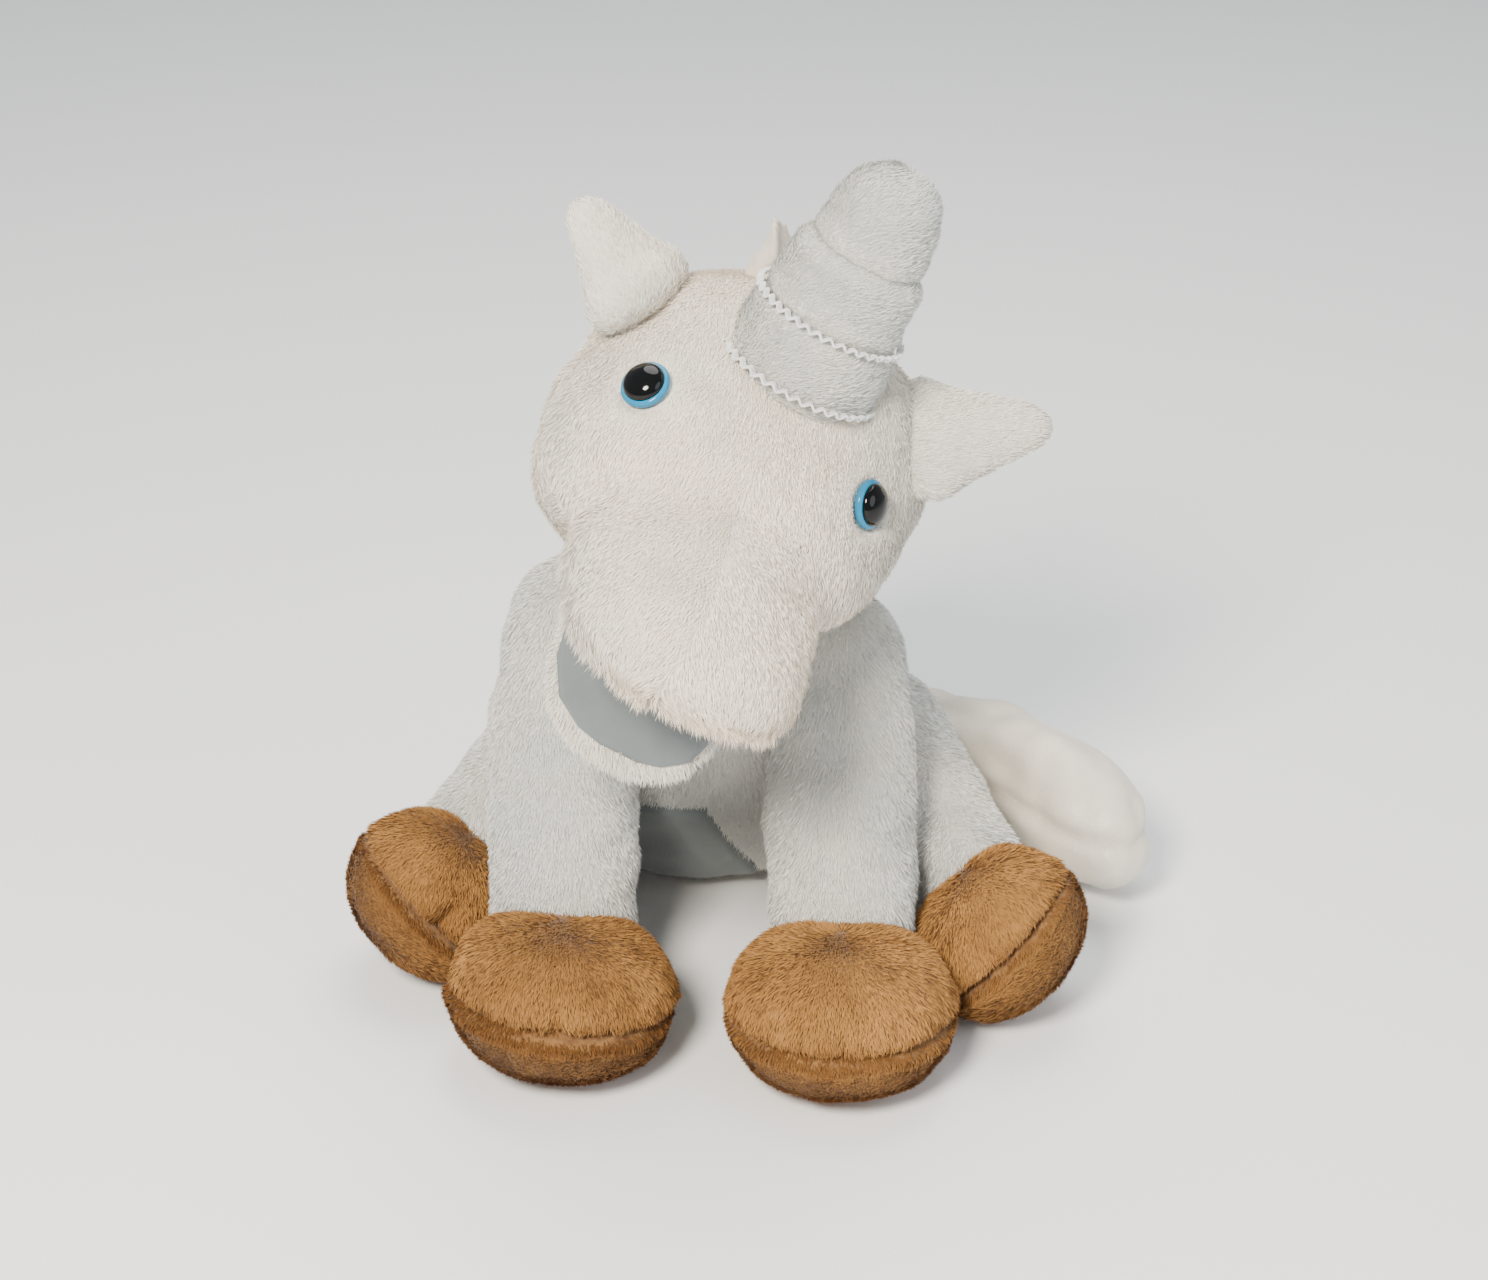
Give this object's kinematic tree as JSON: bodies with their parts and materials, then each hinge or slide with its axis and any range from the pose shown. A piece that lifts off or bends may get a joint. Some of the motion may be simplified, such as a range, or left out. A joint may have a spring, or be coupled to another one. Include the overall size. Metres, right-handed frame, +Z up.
{
  "type": "plush unicorn",
  "caption": "Seated stuffed unicorn with an opening cloth-lined mouth, stubby stacked horn, puffed plush hooves, floppy ears and a satin tail.",
  "frame": {"origin": "on the flat patch under the rump that the toy sits on, midway between its flanks", "axes": "+Z up, -Y the way the toy faces, +X the toy's left side"},
  "size_m": [0.3531, 0.2975, 0.3691],
  "materials": {
    "fur": "matte",
    "lining": "matte",
    "hoof_plush": "matte",
    "satin": "satin",
    "pellet_cloth": "matte",
    "braid": "matte",
    "eye_blue": "gloss",
    "eye_black": "gloss",
    "washer_plastic": "matte"
  },
  "bodies": {
    "torso": {"body_plush": "fur", "belly_panel": "lining", "pellet_bag": "pellet_cloth"},
    "neck": {"neck_plush": "fur", "mane_crest": "satin"},
    "head": {"head_plush": "fur", "muzzle_plush": "fur", "palate_lining": "lining", "mane_forelock": "satin", "eye_iris_left": "eye_blue", "eye_iris_right": "eye_blue", "eye_pupil_left": "eye_black", "eye_pupil_right": "eye_black", "eye_washer_left": "washer_plastic", "eye_washer_right": "washer_plastic"},
    "jaw": {"jaw_plush": "fur", "jaw_lining": "lining"},
    "horn": {"horn_base": "fur", "horn_middle": "fur", "horn_tip": "fur", "horn_braid": "braid"},
    "ear_left": {"ear_left": "fur", "ear_lining_left": "lining"},
    "ear_right": {"ear_right": "fur", "ear_lining_right": "lining"},
    "tail": {"tail_satin": "satin"},
    "foreleg_left": {"foreleg_left": "fur", "fore_hoof_upper_left": "hoof_plush", "fore_hoof_sole_left": "hoof_plush"},
    "hindleg_left": {"hindleg_left": "fur", "hind_hoof_upper_left": "hoof_plush", "hind_hoof_sole_left": "hoof_plush"},
    "foreleg_right": {"foreleg_right": "fur", "fore_hoof_upper_right": "hoof_plush", "fore_hoof_sole_right": "hoof_plush"},
    "hindleg_right": {"hindleg_right": "fur", "hind_hoof_upper_right": "hoof_plush", "hind_hoof_sole_right": "hoof_plush"}
  },
  "joints": [
    {"name": "neck_nod", "type": "hinge", "parent": "torso", "child": "neck", "pos_m": [0, -0.038, 0.158], "axis": [1, 0, 0], "range_deg": [-20, 0]},
    {"name": "head_tilt", "type": "hinge", "parent": "neck", "child": "head", "pos_m": [0.007, -0.048, 0.242], "axis": [0, 1, 0], "range_deg": [-60, 0]},
    {"name": "mouth_open", "type": "hinge", "parent": "head", "child": "jaw", "pos_m": [-0.00641, -0.13236, 0.21912], "axis": [0.866, 0, -0.5], "range_deg": [-27, 4]},
    {"name": "horn_bend", "type": "hinge", "parent": "head", "child": "horn", "pos_m": [0.03359, -0.1078, 0.28041], "axis": [0.866, 0, -0.5], "range_deg": [-10, 10]},
    {"name": "ear_flop_left", "type": "hinge", "parent": "head", "child": "ear_left", "pos_m": [0.07917, -0.09521, 0.25136], "axis": [0.2347, 0.8829, 0.4066], "range_deg": [-12, 12]},
    {"name": "ear_flop_right", "type": "hinge", "parent": "head", "child": "ear_right", "pos_m": [-0.02128, -0.09521, 0.30936], "axis": [0.2347, 0.8829, 0.4066], "range_deg": [-12, 12]},
    {"name": "foreleg_swing_left", "type": "hinge", "parent": "torso", "child": "foreleg_left", "pos_m": [0.057, -0.068, 0.146], "axis": [1, 0, 0], "range_deg": [-22, 1]},
    {"name": "foreleg_swing_right", "type": "hinge", "parent": "torso", "child": "foreleg_right", "pos_m": [-0.061, -0.066, 0.158], "axis": [1, 0, 0], "range_deg": [-22, 1]},
    {"name": "hindleg_spread_left", "type": "hinge", "parent": "torso", "child": "hindleg_left", "pos_m": [0.07, 0.002, 0.054], "axis": [0, 0, 1], "range_deg": [-0.5, 12]},
    {"name": "hindleg_spread_right", "type": "hinge", "parent": "torso", "child": "hindleg_right", "pos_m": [-0.07, 0.002, 0.054], "axis": [0, 0, 1], "range_deg": [-12, 0.5]},
    {"name": "tail_swing", "type": "hinge", "parent": "torso", "child": "tail", "pos_m": [0.062, 0.058, 0.037], "axis": [0, 0, 1], "range_deg": [0, 30]}
  ]
}
